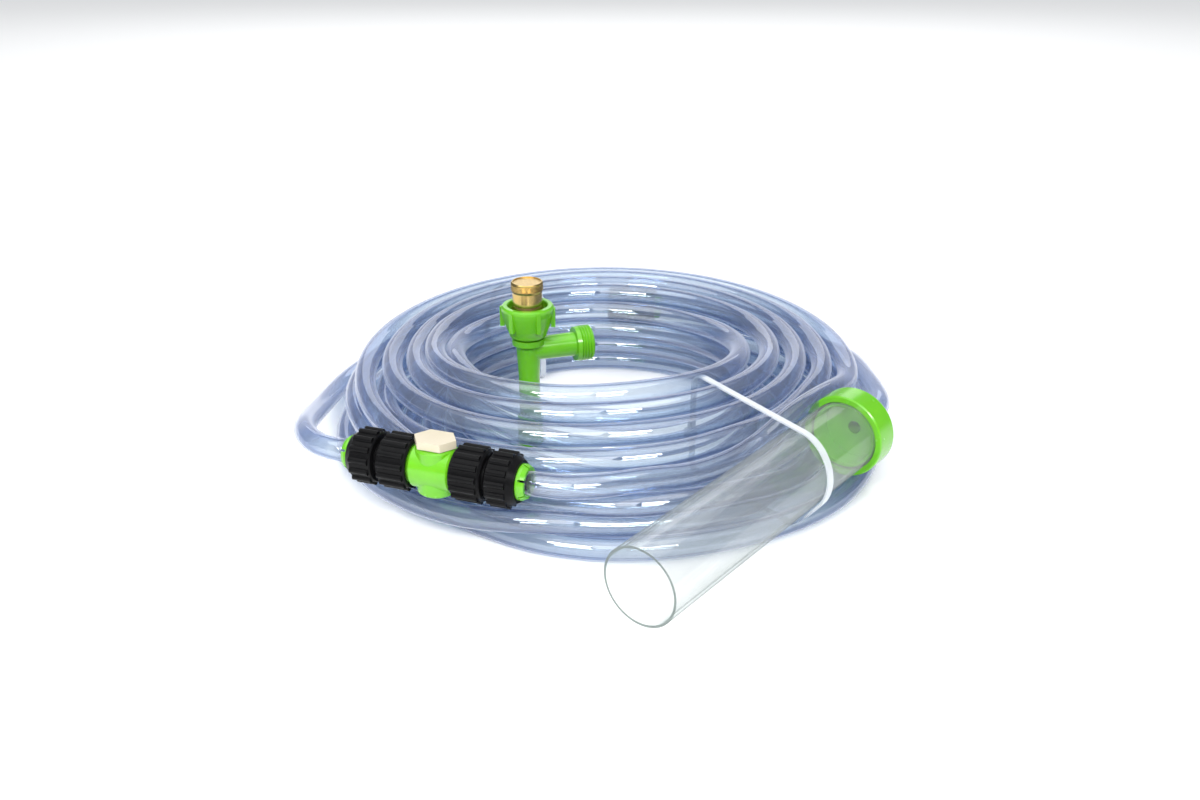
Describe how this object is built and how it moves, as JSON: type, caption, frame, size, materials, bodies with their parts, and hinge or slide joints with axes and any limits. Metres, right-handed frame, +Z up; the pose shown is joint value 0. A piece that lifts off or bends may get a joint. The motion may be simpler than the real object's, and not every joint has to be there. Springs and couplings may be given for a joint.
{
  "type": "gravel vacuum siphon",
  "caption": "Clear gravel tube tied to a coil of clear hose, with an in-line ball valve and a tap pump that draws or feeds water.",
  "frame": {"origin": "on the floor, below the middle of the rigid pieces' box", "axes": "+Z up; +X along the longer side of the rigid pieces' box, with the gravel tube's mouth to the right of the valve; +Y from the mouth's side to the back"},
  "size_m": [0.4488, 0.5943, 0.131],
  "materials": {
    "clear_hose": "clear soft vinyl with a blue tint",
    "clear_tube": "clear rigid acrylic, polished",
    "green_plastic": "bright yellow-green moulded plastic",
    "black_plastic": "black moulded plastic, satin",
    "handle_plastic": "cream moulded plastic",
    "ball_plastic": "smooth off-white plastic",
    "seal_rubber": "black rubber",
    "tie_plastic": "translucent white nylon",
    "brass": "turned brass",
    "strainer_brass": "fine brass mesh"
  },
  "bodies": {
    "vacuum": {"gravel_tube": "clear_tube", "tube_cap": "green_plastic", "hose_coil": "clear_hose", "hose_cap_to_valve": "clear_hose", "hose_valve_to_coil": "clear_hose", "hose_coil_to_end": "clear_hose", "front_tie": "tie_plastic", "rear_tie": "tie_plastic", "valve_body": "green_plastic", "valve_seats": "seal_rubber", "seat_retainer": "green_plastic", "valve_left_stem": "black_plastic", "valve_right_stem": "black_plastic", "hose_end_stem": "black_plastic", "valve_left_washer": "seal_rubber", "valve_right_washer": "seal_rubber"},
    "valve_rotor": {"valve_handle": "handle_plastic", "valve_stem": "green_plastic", "valve_ball": "ball_plastic", "stem_o_ring": "seal_rubber"},
    "pump": {"pump_body": "green_plastic", "pump_nozzle": "green_plastic", "drain_o_ring": "seal_rubber"},
    "pump_nut": {"pump_swivel_nut": "green_plastic", "pump_washer": "seal_rubber"},
    "adapter": {"faucet_adapter": "brass", "adapter_strainer": "strainer_brass"},
    "drain": {"drain_sleeve": "green_plastic"},
    "valve_left_swivel": {"valve_left_coupling_nut": "black_plastic"},
    "valve_left_grip": {"valve_left_collet": "green_plastic"},
    "valve_left_grip_nut": {"valve_left_hose_nut": "black_plastic"},
    "valve_right_swivel": {"valve_right_coupling_nut": "black_plastic"},
    "valve_right_grip": {"valve_right_collet": "green_plastic"},
    "valve_right_grip_nut": {"valve_right_hose_nut": "black_plastic"},
    "hose_end_swivel": {"hose_end_coupling_nut": "black_plastic", "hose_end_washer": "seal_rubber"},
    "hose_end_grip": {"hose_end_collet": "green_plastic"},
    "hose_end_grip_nut": {"hose_end_hose_nut": "black_plastic"}
  },
  "joints": [
    {"name": "valve_turn", "type": "hinge", "parent": "vacuum", "child": "valve_rotor", "pos_m": [-0.12268, -0.01487, 0.052], "axis": [0, 0, 1], "range_deg": [0, 90]},
    {"name": "pump_lift", "type": "slide", "parent": "vacuum", "child": "pump", "axis": [0, 0, 1], "range_m": [0, 0.14]},
    {"name": "pump_nut_turn", "type": "hinge", "parent": "pump", "child": "pump_nut", "pos_m": [-0.07018, 0.12773, 0], "axis": [0, 0, -1], "range_deg": [0, 1080]},
    {"name": "adapter_rise", "type": "slide", "parent": "pump", "child": "adapter", "axis": [0, 0, 1], "range_m": [0, 0.0067]},
    {"name": "drain_slide", "type": "slide", "parent": "pump", "child": "drain", "axis": [0, 0, 1], "range_m": [0, 0.01]},
    {"name": "valve_left_swivel_turn", "type": "hinge", "parent": "vacuum", "child": "valve_left_swivel", "pos_m": [-0.12268, -0.01487, 0.052], "axis": [-0.9397, 0.342, 0], "range_deg": [0, 1080]},
    {"name": "valve_left_grip_slide", "type": "slide", "parent": "vacuum", "child": "valve_left_grip", "axis": [-0.9397, 0.342, 0], "range_m": [0, 0.0045]},
    {"name": "valve_left_grip_nut_turn", "type": "hinge", "parent": "valve_left_grip", "child": "valve_left_grip_nut", "pos_m": [-0.12268, -0.01487, 0.052], "axis": [-0.9397, 0.342, 0], "range_deg": [0, 720]},
    {"name": "valve_right_swivel_turn", "type": "hinge", "parent": "vacuum", "child": "valve_right_swivel", "pos_m": [-0.12268, -0.01487, 0.052], "axis": [0.9397, -0.342, 0], "range_deg": [0, 1080]},
    {"name": "valve_right_grip_slide", "type": "slide", "parent": "vacuum", "child": "valve_right_grip", "axis": [0.9397, -0.342, 0], "range_m": [0, 0.0045]},
    {"name": "valve_right_grip_nut_turn", "type": "hinge", "parent": "valve_right_grip", "child": "valve_right_grip_nut", "pos_m": [-0.12268, -0.01487, 0.052], "axis": [0.9397, -0.342, 0], "range_deg": [0, 720]},
    {"name": "hose_end_swivel_turn", "type": "hinge", "parent": "vacuum", "child": "hose_end_swivel", "pos_m": [-0.02191, 0.39888, 0.0192], "axis": [0.9848, -0.1736, 0], "range_deg": [0, 1080]},
    {"name": "hose_end_grip_slide", "type": "slide", "parent": "vacuum", "child": "hose_end_grip", "axis": [0.9848, -0.1736, 0], "range_m": [0, 0.0045]},
    {"name": "hose_end_grip_nut_turn", "type": "hinge", "parent": "hose_end_grip", "child": "hose_end_grip_nut", "pos_m": [-0.02191, 0.39888, 0.0192], "axis": [0.9848, -0.1736, 0], "range_deg": [0, 720]}
  ],
  "couplings": [
    {"joint": "adapter_rise", "follows": "pump_nut_turn", "m_per_rad": 0.00035173},
    {"joint": "valve_left_grip_slide", "follows": "valve_left_grip_nut_turn", "m_per_rad": 0.00035173},
    {"joint": "valve_right_grip_slide", "follows": "valve_right_grip_nut_turn", "m_per_rad": 0.00035173},
    {"joint": "hose_end_grip_slide", "follows": "hose_end_grip_nut_turn", "m_per_rad": 0.00035173}
  ]
}
